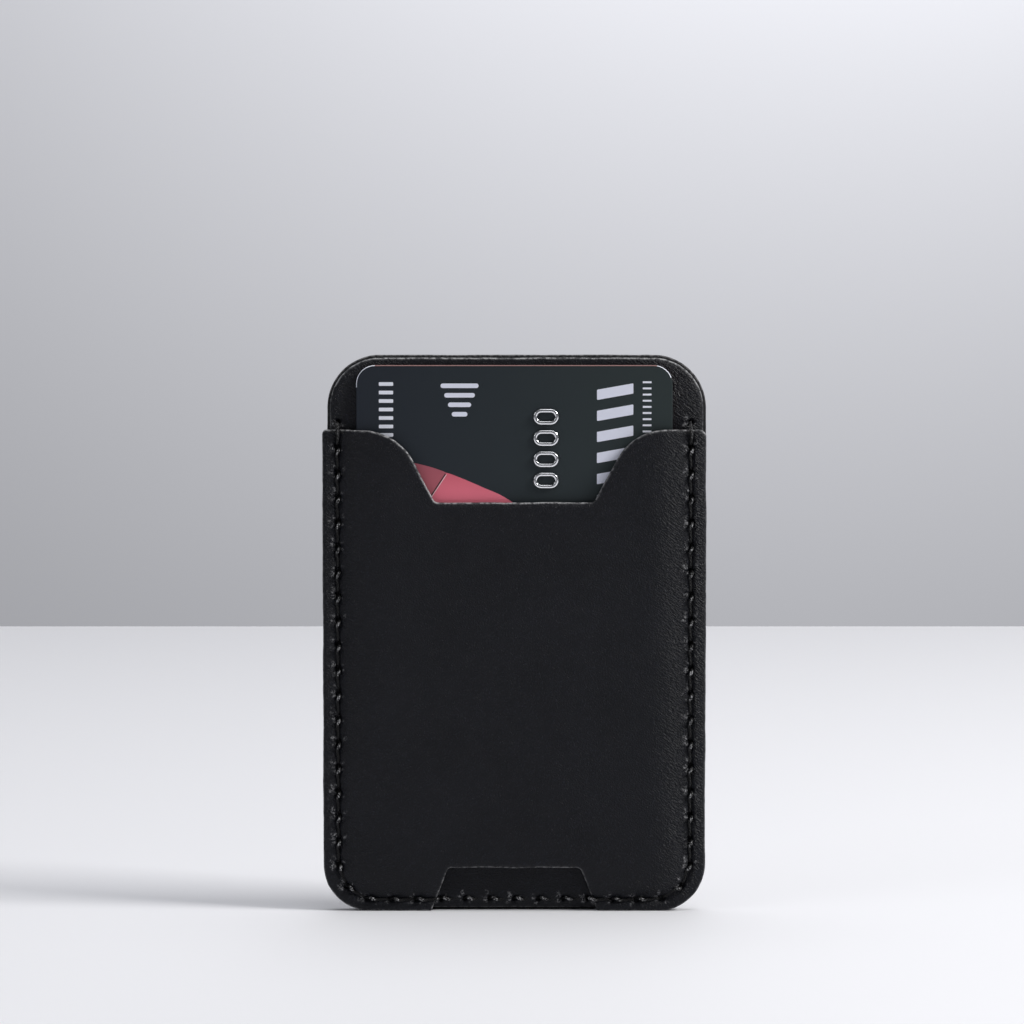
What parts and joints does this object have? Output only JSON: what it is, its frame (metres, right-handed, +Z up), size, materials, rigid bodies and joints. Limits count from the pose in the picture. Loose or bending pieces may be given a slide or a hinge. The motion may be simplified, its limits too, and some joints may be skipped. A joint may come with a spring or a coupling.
{
  "type": "phone card wallet",
  "caption": "Stick-on leather card wallet for the back of a phone: a stitched pocket with a thumb notch and a push-out window, holding a bank card that slides up and out.",
  "frame": {"origin": "middle of the adhesive pad's outer face, the face that sticks to the phone", "axes": "+X to the right seen from the front, +Y into the phone, +Z up towards the open top"},
  "size_m": [0.0654, 0.005, 0.0954],
  "materials": {
    "leather": "matte, fine grain, burnished edges",
    "thread": "waxed, slightly fuzzy",
    "foam_tape": "tacky, matte",
    "card_core": "cut edge",
    "card_print": "satin laminate",
    "stripe": "satin",
    "signature_paper": "matte",
    "contacts": "brushed gold plate",
    "coil_wire": "bright copper",
    "foil": "hot-stamped silver foil"
  },
  "bodies": {
    "wallet": {"adhesive_pad": "foam_tape", "backing_panel": "leather", "inner_panel": "leather", "front_panel": "leather", "seam_thread_a": "thread", "seam_thread_b": "thread"},
    "card": {"card_core": "card_core", "card_front_overlay": "card_print", "card_rear_overlay": "card_print", "magnetic_stripe": "stripe", "signature_panel": "signature_paper", "chip_module": "contacts", "antenna_coil": "coil_wire", "numeral_foil": "foil"}
  },
  "joints": [
    {"name": "card_slide", "type": "slide", "parent": "wallet", "child": "card", "axis": [0, 0, 1], "range_m": [-0.003, 0.088]}
  ]
}
